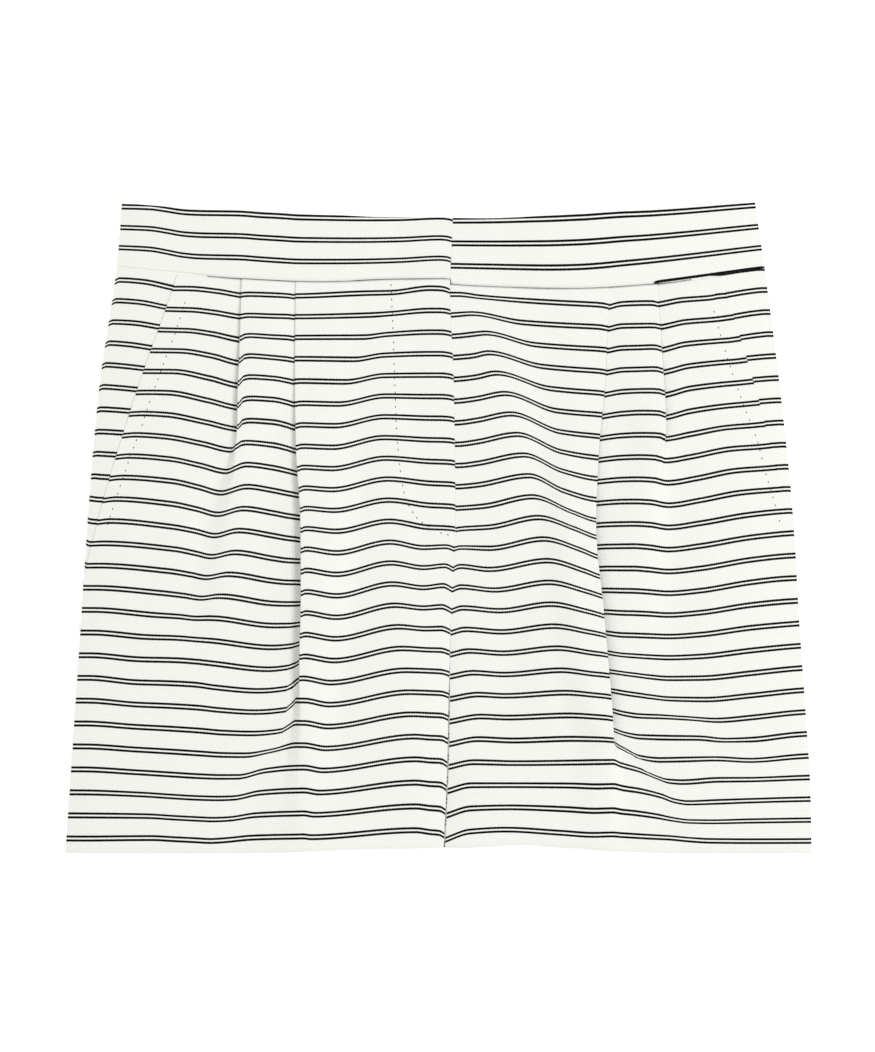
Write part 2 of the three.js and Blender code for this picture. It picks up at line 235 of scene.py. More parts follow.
STRIPE = 13.0        # one repeat of the stripes, millimetres of cloth
PAIR = 2.2           # from the upper thin line of a pair to the lower one
LINE = 0.66          # half the width of a thin line
LINE_EDGE = 0.1      # over which its edge turns from ivory to black
RIBS = 11            # woven ribs in one repeat of the stripes
TWIST = 1.35         # one turn of the black yarn
THREAD = 0.55        # from one thread across the ribs to the next
IVORY = (0.805, 0.815, 0.800, 1)
# painted shade: the darker ivory that the ground takes in the rib grooves, and also in its random slubs and
# fuzz
IVORY_SHADE_AND_SLUB = (0.700, 0.705, 0.680, 1)
BLACK_YARN = (0.004, 0.004, 0.005, 1)

cotton = Finish("striped_ribbed_cotton")
weave = cotton.add("ShaderNodeUVMap", {"uv_map": "weave"}, {})
across = cotton.add("ShaderNodeSeparateXYZ", {}, {0: weave}, "X")
along = cotton.add("ShaderNodeSeparateXYZ", {}, {0: weave}, "Y")
slub = cotton.add("ShaderNodeTexNoise", {}, {"Vector": weave, "Scale": 0.35, "Detail": 3.0}, "Fac")
fuzz = cotton.add("ShaderNodeTexNoise", {}, {"Vector": weave, "Scale": 1.9, "Detail": 2.0}, "Fac")
counted = along / STRIPE
repeat = counted.sum("FRACT", counted)
centred = repeat - 0.5
upper = (0.5 - centred.sum("ABSOLUTE", centred)) * STRIPE
shifted = repeat - PAIR / STRIPE
lower = shifted.sum("ABSOLUTE", shifted) * STRIPE
turned = across * (2 * math.pi / TWIST) + slub * 9
twist = turned.sum("SINE", turned)
half = LINE + twist * 0.07 + (fuzz - 0.5) * 0.25
inside = (half - upper.sum("MINIMUM", upper, lower)) / LINE_EDGE + 0.5
yarn = inside.sum("MINIMUM", inside, 1)
yarn = yarn.sum("MAXIMUM", yarn, 0)
ribbed = repeat * (2 * math.pi * RIBS)
rib = ribbed.sum("COSINE", ribbed) * 0.5 + 0.5
threaded = across * (2 * math.pi / THREAD)
warp = threaded.sum("SINE", threaded) * 0.5 + 0.5
# The ground is painted darker in the rib grooves, as painted shade, and its tone varies at random with slub
# and fuzz
groove_shade_and_slub = (1 - rib) * 0.55 + (fuzz - 0.5) * 0.5 + (slub - 0.5) * 0.5
ground = cotton.add("ShaderNodeMix", {"data_type": "RGBA"},
                    {"Factor": groove_shade_and_slub, 6: IVORY, 7: IVORY_SHADE_AND_SLUB}, 2)
dyed = cotton.add("ShaderNodeMix", {"data_type": "RGBA"},
                  {"Factor": yarn, 6: ground, 7: BLACK_YARN}, 2)
height = rib * (0.75 + warp * 0.25) + (fuzz - 0.5) * 0.35
relief = cotton.add("ShaderNodeBump", {}, {"Height": height, "Strength": 0.5, "Distance": 0.00012}, "Normal")
cotton.fill(cotton.skin, {
    "Base Color": dyed, "Roughness": 0.86, "Normal": relief, "Sheen Weight": 0.03,
    "Sheen Roughness": 0.5, "Specular IOR Level": 0.06,
})


def cloth_piece(name, x, y, z, weave_at, thickness, node):
    """A sheet of rows by columns, laid on its points, given its thickness and its finish"""
    rows, columns = x.shape
    deselect()
    bpy.ops.mesh.primitive_grid_add(x_subdivisions=columns - 1, y_subdivisions=rows - 1, size=1)
    sheet = take_new(name)
    mesh = sheet.data
    flat = np.empty(len(mesh.vertices) * 3)
    mesh.vertices.foreach_get("co", flat)
    flat = flat.reshape(-1, 3)
    column = np.rint((flat[:, 0] + 0.5) * (columns - 1)).astype(int)
    row = rows - 1 - np.rint((flat[:, 1] + 0.5) * (rows - 1)).astype(int)
    placed = np.stack([x, y, z], axis=-1)[row, column] * MM
    mesh.vertices.foreach_set("co", placed.ravel())
    corner = np.empty(len(mesh.loops), int)
    mesh.loops.foreach_get("vertex_index", corner)
    mesh.uv_layers[0].name = "weave"
    laid = np.stack(weave_at, axis=-1)[row, column][corner]
    mesh.uv_layers["weave"].data.foreach_set("uv", laid.ravel())
    mesh.update()
    wall = sheet.modifiers.new("wall", "SOLIDIFY")
    wall.thickness, wall.offset = thickness * MM, 0
    bpy.ops.object.modifier_apply(modifier="wall")
    bpy.ops.object.shade_smooth_by_angle(angle=math.radians(50))
    sheet.data.materials.append(cotton.material)
    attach(sheet, "root")
    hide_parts(node)
    return sheet


BACK_INSET = 0.4     # the back stays this far inside the front's outline
BACK_PART = 0.12     # half the gap between the two backs
BACK_ROWS, BACK_COLUMNS = 90, 60
for leg in ("right", "left"):
    share = np.linspace(0, 1, BACK_ROWS)[:, None]
    level = SEAM_Y + (HEM_Y - SEAM_Y) * share
    outer = SIGN[leg] * (side_out(leg, level) - BACK_INSET)
    inner = centre_x(level) + SIGN[leg] * BACK_PART
    step = np.linspace(0, 1, BACK_COLUMNS)[None, :]
    left_edge, right_edge = (outer, inner) if leg == "right" else (inner, outer)
    x = left_edge + (right_edge - left_edge) * step
    y = level_y("back", x, share) + BACK_INSET * share - GAP / 2
    piece = cloth_piece(f"back_{leg}", x, y, np.full_like(x, WALL / 2), (x, STRIPE / 2 - y), WALL,
                        f"back_{leg}_leg")

# Back of the waistband
# A curved band of two plies, hidden behind the front one and level with the table top.
WAIST_Y = 195
BAND = 1.6           # two plies of cloth and what stiffens them
BAND_ROWS, BAND_COLUMNS = 16, 100
WAIST_TOP = {
    "right": {"x": (-190, -170, -143, -119, -107, -83, -59, -35, 8),
              "y": (195.3, 193.7, 191.5, 190.9, 190.2, 188.7, 187.8, 186.8, 186.7)},
    "left": {"x": (-3, 9, 28, 65, 121, 190), "y": (186.5, 186.3, 186.1, 187.6, 190.9, 195.8)},
    "back": {"x": (-190, -144, -83, 0, 65, 121, 190), "y": (194.6, 190.2, 187.5, 185.4, 186.2, 189.8, 194.6)},
}
share = np.linspace(0, 1, BAND_ROWS)[:, None]
level = WAIST_Y + (SEAM_Y - WAIST_Y) * share
first, last = -side_out("right", level) + BACK_INSET, side_out("left", level) - BACK_INSET
x = first + (last - first) * np.linspace(0, 1, BAND_COLUMNS)[None, :]
top = through(WAIST_TOP["back"]["x"], WAIST_TOP["back"]["y"], x)
y = top + (seam_y("back", x) + GAP - top) * share
piece = cloth_piece("back_band", x, y, np.full_like(x, BAND / 2), (x, STRIPE / 2 - y), BAND, "back_waistband")

# Pocket facings
# The piece of the same cotton that shows in each slash pocket's mouth. It is sewn into the side
# seam and the waistband, and runs in below the front.
MOUTH = {
    "right": {"y": (-31, -1.5, 18, 56, 96, 120, 144, 160),
              "out": (213, 205.5, 200.1, 188.4, 175.2, 166.5, 158.4, 153.3), "end": -31},
    "left": {"y": (-8, 11, 76, 160), "out": (214, 208.5, 191.5, 166.5), "end": -8},
}
CLOTH = 0.5          # the cloth's thickness where its folds show; the solids' walls are thicker
EDGE_Z = 1.5 * WALL + GAP
PUFF = 1.8           # how much higher the front lies inside than at its side seam
SIDE_ROLL, LEG_ROLL = 14, 7
SIDE_CALM, CENTRE_CALM = 25, 12      # troughs and ridges fade out this near to a front's edges
FOLD_FULL, FOLD_FADES = 0.3, 0.72    # shares of a trough's or ridge's length
CROTCH_Y, FLY_END_Y = -97, -6
FACING_LAP = 18      # how far the facing runs in below the front
RIM = np.array([[0, 0.5, 1.2, 2.2, 3.6]])   # the first columns, close together at a turned edge
RIM_WIDTH = RIM[0, -1]
FACING_ROWS, FACING_COLUMNS = 60, 24
RIPPLES = {
    "right": [
        {"name": "pocket sag", "head": (-150, 120), "foot": (-160, -70), "width": 20, "lift": 0.7},
        {"name": "outer trough", "head": (-126, 70), "foot": (-150, -90), "width": 11, "lift": -0.9},
        {"name": "inner trough", "head": (-64, 110), "foot": (-60, -200), "width": 12, "lift": -0.8},
        {"name": "front ridge", "head": (-32, 130), "foot": (-14, -215), "width": 17, "lift": 1.3},
        {"name": "hem trough", "head": (-98, -95), "foot": (-126, -215), "width": 13, "lift": -0.8},
    ],
    "left": [
        {"name": "front ridge", "head": (28, 155), "foot": (86, -190), "width": 20, "lift": 1.6},
        {"name": "inner trough", "head": (76, 100), "foot": (30, -150), "width": 13, "lift": -0.8},
        {"name": "outer trough", "head": (143, 70), "foot": (136, -110), "width": 13, "lift": -0.9},
        {"name": "pocket sag", "head": (168, 110), "foot": (178, -120), "width": 20, "lift": 0.7},
        {"name": "hem trough", "head": (112, -120), "foot": (152, -215), "width": 14, "lift": -0.9},
    ],
}
# The stripes of each leg at its side seam: where the first lies, one repeat, and its growth down the leg
COURSE = {"right": (149.4, 12.84, 0.021), "left": (144.3, 13.23, 0.0)}


def soft(value, low, high):
    """0 below low, 1 above high, smooth between"""
    t = np.clip((value - low) / (high - low), 0, 1)
    return t * t * (3 - 2 * t)


def cloth_height(leg, x, y):
    """The front's middle surface where it is one layer, with its soft troughs and ridges"""
    to_side = np.maximum(side_out(leg, y) - SIGN[leg] * x, 0)
    to_centre = np.abs(x - centre_x(y))
    groove = 1 - soft(y, CROTCH_Y, FLY_END_Y)
    puff = PUFF * (1 - np.exp(-to_side / SIDE_ROLL)) * (1 - groove * np.exp(-to_centre / LEG_ROLL))
    height = np.zeros_like(puff)
    for fold in RIPPLES[leg]:
        (head_x, head_y), (foot_x, foot_y) = fold["head"], fold["foot"]
        down = np.clip((head_y - y) / (head_y - foot_y), 0, 1)
        middle = head_x + (foot_x - head_x) * down
        strength = soft(down, 0, FOLD_FULL) * (1 - soft(down, FOLD_FADES, 1))
        height += fold["lift"] * strength * np.exp(-(((x - middle) / fold["width"]) ** 2))
    return EDGE_Z + puff + height * soft(to_side, 0, SIDE_CALM) * soft(to_centre, 0, CENTRE_CALM)


def stripe_at(leg, level):
    """The stripe number of a level at the side seam"""
    first, pitch, growth = COURSE[leg]
    fall = first - level
    return 2 * fall / (pitch + np.sqrt(pitch**2 + 4 * growth * np.maximum(fall, -200)))


def lengths(x, z):
    """How far each point of a row lies along the cloth from the row's first one"""
    run = np.hypot(np.diff(x, axis=1), np.diff(z, axis=1))
    return np.concatenate([np.zeros((len(x), 1)), np.cumsum(run, axis=1)], axis=1)


def striped_piece(name, leg, x, y, z, stripe, thickness, node):
    """A sheet made from its side seam inward, with its map of the weave"""
    run = lengths(x, z)
    if leg == "left":
        x, y, z, stripe, run = (values[:, ::-1] for values in (x, y, z, stripe, run))
    return cloth_piece(name, x, y, z, (run, STRIPE * stripe), thickness, node)


def in_order(*places):
    """Places in a row, each at least a little past the one before"""
    stacked = np.stack(np.broadcast_arrays(*places), axis=-1).astype(float)
    return np.maximum.accumulate(stacked, axis=-1) + np.arange(stacked.shape[-1]) * 0.01


# How far a facing's stripes sag: at the side seam's turned edge, inside it, halfway, and at the mouth
FACING_SAG = {
    "right": {"stripe": (-1, 0, 1, 2, 3, 5, 7, 8, 10, 12),
              "turn": (-2.0, 0.5, 0, -0.4, -0.4, -0.5, -0.3, -0.2, -0.2, -0.5),
              "inside": (-3.0, -0.8, -1.3, -1.4, -1.7, -1.5, -0.8, -0.7, 0, 0.4),
              "half": (-2.5, 0.1, -0.5, -0.9, -1.0, -1.0, -0.6, -0.5, 0.3, 0.4),
              "mouth": (0, 4.0, 2.8, 1.6, 1.2, 0.2, 0, 0, 0.6, 0.6)},
    "left": {"stripe": (0, 1, 2, 3, 5, 8, 12), "turn": (0, 0, 0, -0.1, 0.1, 0.4, 0.5),
             "inside": (0, 0, 0, 0, 0.1, 0.3, 0.4), "half": (0.9, 0.7, 0.6, 0.4, 0.3, 0.4, 0.4),
             "mouth": (3.1, 2.7, 2.2, 1.4, 0.9, 0.7, 0.6)},
}
TURN_WIDTH = 2.4     # how far inside the side seam "inside" lies
HALFWAY = 0.45       # share of the facing's width at which "half" lies
LEAST_WIDTH = 9
SETTLE = 5           # rounds in which a point's stripe and its sag come to agree
for leg in ("right", "left"):
    bottom = MOUTH[leg]["end"] + 2
    share = np.linspace(0, 1, FACING_ROWS)[:, None]
    level = SEAM_Y + (bottom - SEAM_Y) * share
    outer = -side_out(leg, level)
    mouth = np.maximum(-through(MOUTH[leg]["y"], MOUTH[leg]["out"], level), outer)
    rim = np.broadcast_to(RIM, (FACING_ROWS, RIM.size))
    inner_part = (mouth + FACING_LAP - outer - RIM_WIDTH) * np.linspace(0, 1, FACING_COLUMNS)[None, 1:]
    q = outer + np.concatenate([rim, RIM_WIDTH + inner_part], axis=1)
    x = -SIGN[leg] * q
    y = level + (seam_y(leg, x) + 1 - SEAM_Y) * (1 - share)
    z = cloth_height(leg, x, y)
    sags = FACING_SAG[leg]
    stripe = stripe_at(leg, y)
    for _ in range(SETTLE):
        wide = np.maximum(mouth - outer, LEAST_WIDTH)
        places = in_order(*(np.broadcast_to(place, q.shape) for place in
                            (outer, outer + TURN_WIDTH, outer + HALFWAY * wide, outer + wide)))
        values = [through(sags["stripe"], sags[key], stripe) for key in ("turn", "inside", "half", "mouth")]
        stripe = stripe_at(leg, y + through(places, np.stack(values, -1), q))
    piece = striped_piece(f"facing_{leg}", leg, x, y, z, stripe, CLOTH, f"pocket_facing_{leg}")

# Fronts
# One piece of the ribbed cotton for each leg. Two knife pleats are folded into its top, sewn down
# in the waistband, and open lower down into soft ridges. The wearer's right front laps on the left.
PLEATS = {
    "right": [
        {"y": (-195, -80, -40, 0, 28, 46, 60, 80, 105, 160),
         "edge": (175, 150, 139, 130, 125, 122, 120.6, 120.3, 119.3, 117.6),
         "tuck": (-26, -26, -21, -16, -10, -4, 2, 6, 10, 12),
         "rise": (0.3, 0.3, 1.6, 2.4, 3.0, 3.3, 3.2, 2.8, 2.1, 0.85)},
        {"y": (-195, -150, -115, -98, -80, -40, 5, 50, 90, 160),
         "edge": (88.5, 85.5, 83.7, 83.3, 83.2, 82.3, 82.6, 85.3, 86, 85.4),
         "tuck": (-16, -12, -8, -2, 4, 9, 12, 14, 14, 14),
         "rise": (1.0, 2.4, 4.0, 5.0, 5.4, 5.4, 4.8, 3.0, 1.4, 0.85)},
    ],
    "left": [
        {"y": (-195, -80, -35, 3, 30, 47, 61, 78, 102, 160),
         "edge": (150, 130, 128, 129, 132, 134.7, 136.2, 135.8, 134.2, 130.5),
         "tuck": (-26, -26, -20, -16, -10, -4, 2, 6, 9, 12),
         "rise": (0.3, 0.3, 1.3, 2.2, 2.9, 3.1, 3.0, 2.6, 1.8, 0.85)},
        {"y": (-195, -155, -136, -120, -90, -50, 5, 50, 90, 160),
         "edge": (104.2, 105, 105, 104.6, 102.4, 98.9, 94.2, 96, 99.6, 102.4),
         "tuck": (-16, -11, -5, 3, 8, 10, 12, 14, 14, 14),
         "rise": (1.0, 2.4, 3.6, 4.4, 4.4, 4.2, 3.6, 2.4, 1.4, 0.85)},
    ],
}
# How far each stripe sags below its place at the side seam, millimetres, from the outer edge inward:
# at the pocket mouth, on the flat beside it, at both sides of each pleat, and on the folds between.
# A name with _x gives where the place lies across the shorts. A curl is the extra sag at a pleat's edge.
SAG = {
    "right": {
        "stripe": (0, 1, 3, 5, 7, 9, 11, 12, 14, 15, 17, 18, 20, 22, 25),
        "mouth": (4.2, 3.8, 2.8, 2.0, 1.8, 1.1, 0.8, 0.4, 0, -0.2, 0, 0, 0.1, 0.2, 0.2),
        "stitched": (4.2, 4.0, 2.9, 1.9, 1.2, 0.4, 0, 0.1, 0, -0.2, 0, 0, 0.1, 0.2, 0.2),
        "shelf_x": (-150, -148, -154, -162, -164, -160, -161, -158,
                    -166, -169, -179, -181, -181, -181, -172),
        "shelf": (4.2, 4.2, 3.1, 2.1, 2.3, 2.6, 3.3, 3.6, 3.1, 2.9, 2.4, 2.6, 2.1, 1.9, -0.2),
        "brink_x": (-132, -135, -136, -138, -141, -144, -146, -146,
                    -152, -156, -158, -163, -160, -160, -158),
        "brink": (5.9, 5.6, 5.9, 6.8, 6.6, 6.2, 6.0, 6.0, 4.8, 3.8, 2.9, 3.1, 3.2, 3.2, 0.5),
        "under1_x": (-121, -121, -121, -121, -124, -130, -134, -136,
                     -142, -145, -144, -146, -142, -144, -146),
        "under1": (7.9, 7.9, 9.8, 10.7, 10.3, 9.7, 8.8, 8.1, 6.3, 4.9, 3.9, 4.0, 4.4, 4.2, 1.1),
        "over1_x": (-117, -117, -117, -117, -116, -115, -120, -122,
                    -131, -137, -135, -134, -130, -131, -137),
        "over1": (7.6, 7.4, 5.7, 5.3, 5.8, 5.9, 5.7, 5.5, 5.0, 4.7, 4.9, 5.7, 5.5, 4.7, 1.6),
        "curl1": (0.4, 0.7, 3.2, 4.7, 4.0, 0, 0, 0, 0, 0, 0, 0, 0, 0, 0),
        "middle_x": (-99, -99, -99, -99, -99, -99, -99, -99, -99, -99, -102, -108, -112, -120, -128),
        "middle": (8.1, 8.0, 7.1, 6.2, 7.3, 8.2, 8.8, 9.2, 9.4, 9.2, 8.4, 7.8, 6.1, 4.7, 1.1),
        "toe_x": (-90, -90, -90, -90, -90, -90, -90, -90, -90, -90, -89, -89, -95, -104, -112),
        "toe": (8.6, 8.1, 7.9, 8.0, 9.4, 10.0, 10.4, 10.4, 9.7, 9.1, 7.0, 5.9, 4.8, 1.0, -0.4),
        "under2_x": (-84.5,) * 15,
        "under2": (8.9, 8.3, 8.3, 8.9, 10.6, 10.9, 11.0, 10.6, 9.2, 8.0, 3.8, 0.4, -0.5, -1.0, -1.2),
        "over2_x": (-81,) * 15,
        "over2": (8.7, 8.3, 7.7, 8.4, 8.0, 6.6, 4.4, 3.2, 2.0, 1.2, 0.2, -0.1, -0.5, -1.1, -1.3),
        "curl2": (0, 0, 0, 0.6, 1.0, 1.3, 1.3, 1.3, 1.3, 1.3, 0.9, 0.4, 0, 0, 0),
        "low_x": (-44, -41, -50, -60, -63.5, -64, -61.5, -61, -61, -61, -62, -64, -66, -69, -77),
        "low": (6.9, 7.2, 8.0, 8.9, 8.7, 7.8, 6.2, 5.8, 4.8, 4.2, 3.1, 2.8, 1.9, 0.7, -0.8),
        "high_x": (-28.5, -28.5, -33, -32, -33, -30.5, -29.5, -29, -27.5, -26, -22, -20, -16, -14, -14),
        "high": (6.6, 6.4, 5.6, 4.1, 2.9, 1.4, 0.2, -0.6, -2.3, -3.0, -4.1, -4.6, -5.5, -6.0, -4.9),
        "dip_x": (-5, -5, -5, -5, -5, -5, -6, -9, -9, -9, -6, -5, -5, -5, -5),
        "dip": (3.9, 4.5, 4.7, 4.4, 4.2, 3.9, 3.8, 2.7, 0, -1.3, -3.2, -4.1, -5.0, -5.2, -3.7),
        "bank_x": (1, 1, 1, 1, 2, 2, 3, 4.5, 3, 2, 1.5, 1.5, 1.5, 1, 0),
        "bank": (4.1, 4.5, 4.7, 4.4, 4.3, 4.2, 4.2, 2.2, -1.3, -2.1, -3.0, -3.7, -4.7, -4.9, -3.2),
        "centre": (5.3, 5.0, 5.4, 5.0, 4.6, 4.4, 4.6, 3.6, 1.2, 0.3, -1.2, -2.2, -2.9, -2.3, -1.2),
    },
    "left": {
        "stripe": (0, 1, 2, 3, 5, 7, 9, 10, 11, 13, 15, 18, 20, 21, 22, 23, 25),
        "mouth": (3.2, 2.9, 2.7, 2.3, 1.6, 0.9, 0.6, 0.4, 0.4, 0.9, 1.7, 2.1, 1.9, 1.9, 1.6, 1.4, 0),
        "stitched": (3.9, 3.9, 3.7, 3.2, 2.3, 1.6, 1.1, 0.9, 0.9, 1.2, 2.2, 2.6, 2.3, 2.3, 1.8, 1.5, 0),
        "shelf_x": (165, 166, 169, 169, 170, 175, 181, 185, 187, 187, 187, 187, 187, 187, 187, 187, 187),
        "shelf": (4.3, 4.4, 4.1, 3.9, 3.8, 2.9, 2.6, 2.8, 3.0, 3.5, 4.3, 5.3, 5.3, 4.6, 2.8, 2.3, 0),
        "brink_x": (145, 148, 148, 150, 151, 151, 157, 157, 157, 157, 157, 160, 172, 166, 168, 166, 163),
        "brink": (6.0, 5.9, 6.0, 6.0, 6.6, 7.6, 7.2, 7.7, 8.1, 8.5, 8.4, 7.7, 5.8, 3.6, 2.9, 3.0, -0.2),
        "under1_x": (134, 134, 134, 134, 134, 136, 138, 138, 138, 138, 138, 139, 157, 148, 146, 150, 151),
        "under1": (8.0, 8.6, 9.1, 9.3, 10.0, 9.8, 10.1, 10.2, 10.3,
                   10.1, 9.6, 7.4, 4.4, 3.9, 4.3, 3.6, -0.9),
        "over1_x": (128, 128, 128, 128, 130, 130, 127, 127, 126, 125, 125, 127, 139, 133, 137.5, 142, 139),
        "over1": (7.6, 8.0, 7.6, 7.6, 7.7, 8.1, 8.3, 8.6, 8.8, 9.1, 9.1, 6.1, 4.1, 4.2, 3.8, 2.5, -2.0),
        "curl1": (1.0, 0.8, 1.3, 1.3, 1.3, 0.6, 0, 0, 0, 0, 0, 0, 0, 0, 0, 0, 0),
        "middle_x": (121, 121, 121, 121, 121, 121, 118, 118, 117, 117, 117, 121, 121, 121, 129, 133.5, 127),
        "middle": (7.8, 8.2, 8.1, 8.0, 7.5, 7.7, 7.9, 8.1, 8.2, 8.6, 8.8, 5.2, 3.6, 2.9, 1.0, -0.6, -2.6),
        "toe_x": (110, 110, 110, 110, 110, 110, 110, 110, 110, 110, 110, 110, 112, 112, 121, 121, 115),
        "toe": (8.3, 8.4, 8.4, 8.3, 8.1, 8.0, 8.0, 8.2, 8.3, 8.5, 8.6, 3.5, 2.1, -1.5, -2.7, -3.7, -3.3),
        "under2_x": (106, 106, 106, 106, 106, 106, 106, 106, 106, 106, 106, 106, 106, 106, 109, 111, 109),
        "under2": (9.8, 9.8, 9.7, 9.7, 9.5, 9.2, 8.8, 8.6, 8.5,
                   8.0, 7.0, 1.9, -0.9, -5.0, -6.2, -5.3, -3.7),
        "over2_x": (104.5,) * 17,
        "over2": (8.9, 9.0, 9.1, 9.0, 8.6, 8.0, 6.8, 6.0, 2.8, 0, -2.8, -6.8, -7.6, -7.8, -8.1, -6.8, -4.1),
        "curl2": (0.8, 0.8, 0.4, 0.6, 0.3, 0.2, 0, 0, 0, 0, 0, 0, 0, 0, 0, 0, 0),
        "low_x": (65, 50, 58, 62, 71, 74, 74.7, 80, 82, 88, 89, 93, 95, 95.5, 96, 95, 92.7),
        "low": (7.1, 6.2, 6.4, 6.2, 6.4, 4.7, 1.5, 1.2, -2.0,
                -3.2, -5.6, -7.8, -8.6, -8.4, -8.0, -6.6, -3.8),
        "high_x": (23.7, 19, 28, 29.7, 39.5, 47, 54.3, 56.1, 59.7, 65.1, 67.5, 73.5, 79, 80, 82, 79, 73),
        "high": (4.2, 1.0, -0.5, -1.9, -3.9, -5.8, -7.5, -8.1, -8.9,
                 -9.5, -9.9, -10.0, -9.4, -8.6, -7.6, -7.0, -5.0),
        "dip_x": (18.9, 15, 20, 21, 23.7, 23.7, 24, 27.9, 30.9, 30.3, 36.5, 39.3, 40.5, 44, 46.5, 45, 40.5),
        "dip": (3.4, 1.2, 0.2, -0.2, -1.0, -1.5, -2.1, -2.6, -3.2,
                -4.2, -5.9, -7.3, -8.0, -7.5, -7.1, -7.1, -6.9),
        "bank_x": (12.9, 12.5, 14, 14, 13.5, 13, 13, 15.9, 14, 12.9, 14.3, 20.7, 25.5, 24, 21.3, 20, 18.9),
        "bank": (2.7, 1.4, 0.9, 0.5, 0.4, 0, -1.0, -1.5, -2.1,
                 -6.0, -7.6, -8.4, -8.6, -8.3, -7.7, -7.1, -5.7),
        "centre": (2.6, 1.8, 1.4, 0.9, 0.7, 0.1, -0.9, -1.2, -1.8,
                   -4.3, -5.5, -5.9, -5.4, -5.0, -4.6, -3.4, -0.4),
    },
}
PLY = 0.6            # from one layer of the thin cloth to the next
BENDS, TUCKS = 9, 8  # a pleat's columns round its bends and along its tuck


def pleat_fold(tuck, rise):
    """A pleat's section: in below the fold edge, back, and in again on top. Offsets and the edge's place"""
    reach = -tuck
    tight = PLY / 2
    loose = np.maximum(0.2 * (reach**2 + rise**2) / rise, tight)
    radius = tight + (loose - tight) * soft(reach, 0, 8)
    up = rise - 2 * radius
    straight = np.sqrt(np.maximum(reach**2 + up**2 - 4 * radius**2, 0))
    turn = np.arctan2(up, reach) + np.arctan2(2 * radius, straight)
    arc = np.linspace(0, 1, BENDS + 1)[None, 1:] * turn
    bend_x, bend_z = radius * np.sin(arc), radius * (1 - np.cos(arc))
    far = np.linspace(0, 1, TUCKS + 1)[None, 1:] * straight
    run_x, run_z = bend_x[:, -1:] + far * np.cos(turn), bend_z[:, -1:] + far * np.sin(turn)
    last_x = np.concatenate([bend_x[:, -2::-1], np.zeros_like(turn)], axis=1)
    last_z = np.concatenate([bend_z[:, -2::-1], np.zeros_like(turn)], axis=1)
    x = np.concatenate([bend_x, run_x, reach - last_x], axis=1)
    z = np.concatenate([bend_z, run_z, rise - last_z], axis=1)
    edge = np.where(turn > math.pi / 2, reach - radius, run_x[:, -1:])
    return x, z, edge, reach


FLY_LAP = 9
FLY_RAISED = 26      # width in which the right front's edge rises on the left one
LEG_PART = 0.5       # half the gap between the legs below the crotch
MOUTH_FADE = 26      # length in which the step of the pocket mouth dies out at its lower end
STEP_FADE = 24       # width in which the step beside a pleat dies out
HOLLOW, HOLLOW_WIDTH = 0.28, 4   # the dip before a pleat's edge, a share of the pleat's rise
MEET = 0.6           # how far the fronts' edges press together in the seam below the fly
MEET_FROM, MEET_FULL = -62, -38
FRONT_COLUMNS = (26, 18, 44)     # on the flat to the first pleat, to the second, and to the centre


def front_points(leg, share):
    """The rows and columns of a front with its folds, where its pleats lie, and its two edges"""
    sign = SIGN[leg]
    level = SEAM_Y + (HEM_Y - SEAM_Y) * share
    mouth_end = MOUTH[leg]["end"]
    side = -side_out(leg, level)
    mouth = -through(MOUTH[leg]["y"], MOUTH[leg]["out"], level)
    start = np.where(level > mouth_end, np.maximum(mouth, side), side)
    over_mouth = soft(level, mouth_end - MOUTH_FADE, mouth_end)

    def lap(q):
        return PLY * over_mouth * (1 - soft(q - start, FACING_LAP + 2, FACING_LAP + 20))

    def spread(a, b, n):
        return a + (b - a) * np.linspace(0, 1, n + 1)[None, 1:]

    blocks, stacks = [start + RIM], [lap(start + RIM)]
    reached, carried = start + RIM_WIDTH, lap
    pleats = []
    for n, pleat in enumerate(PLEATS[leg]):
        edge_x, tuck, rise = (through(pleat["y"], pleat[key], level) for key in ("edge", "tuck", "rise"))
        fold_x, fold_z, edge, reach = pleat_fold(tuck, rise)
        first = -edge_x - edge
        flat_part = spread(reached, first, FRONT_COLUMNS[n])
        base = carried(first)
        shut = soft(tuck, -3, 3)
        hollow = HOLLOW * rise * shut * np.exp(-(((flat_part + edge_x) / HOLLOW_WIDTH) ** 2))
        blocks += [flat_part, first + fold_x]
        stacks += [carried(flat_part) - hollow, base + fold_z]
        reached = first + reach
        last_column = sum(block.shape[1] for block in blocks) - 1
        pleats.append({"first_column": last_column - fold_x.shape[1], "last_column": last_column,
                       "under": np.minimum(first, -edge_x), "over": reached, "shut": shut})
        flat = np.maximum(tuck, 0) + 2
        carried = (lambda q, high=base + rise, start=reached, flat=flat:
                   high * (1 - soft(q - start, flat, flat + STEP_FADE)))
    centre = -sign * centre_x(level)
    part = GAP / 2 + (LEG_PART - GAP / 2) * (1 - soft(level, CROTCH_Y - 10, CROTCH_Y + 22))
    on_top = leg == "right"
    fly = soft(level, FLY_END_Y - 40, FLY_END_Y - 10)
    lapped = 0 if on_top else soft(level, FLY_END_Y + 8, FLY_END_Y + 18) * FLY_LAP
    closed = MEET * soft(level, MEET_FROM, MEET_FULL) * (1 - soft(level, FLY_END_Y - 4, FLY_END_Y + 8))
    end = centre - part + lapped + closed
    last_part = np.concatenate([spread(reached, end - 3, FRONT_COLUMNS[2]), end - RIM[:, 3::-1]], axis=1)
    raised = PLY * fly * soft(last_part, end - FLY_RAISED, end - 11) if on_top else 0
    blocks.append(last_part)
    stacks.append(carried(last_part) + raised)

    q = np.concatenate(blocks, axis=1)
    x = -sign * q
    y = level_y(leg, x, share)
    z = cloth_height(leg, x, y) + np.concatenate(stacks, axis=1)
    return q, x, y, z, pleats, start, centre


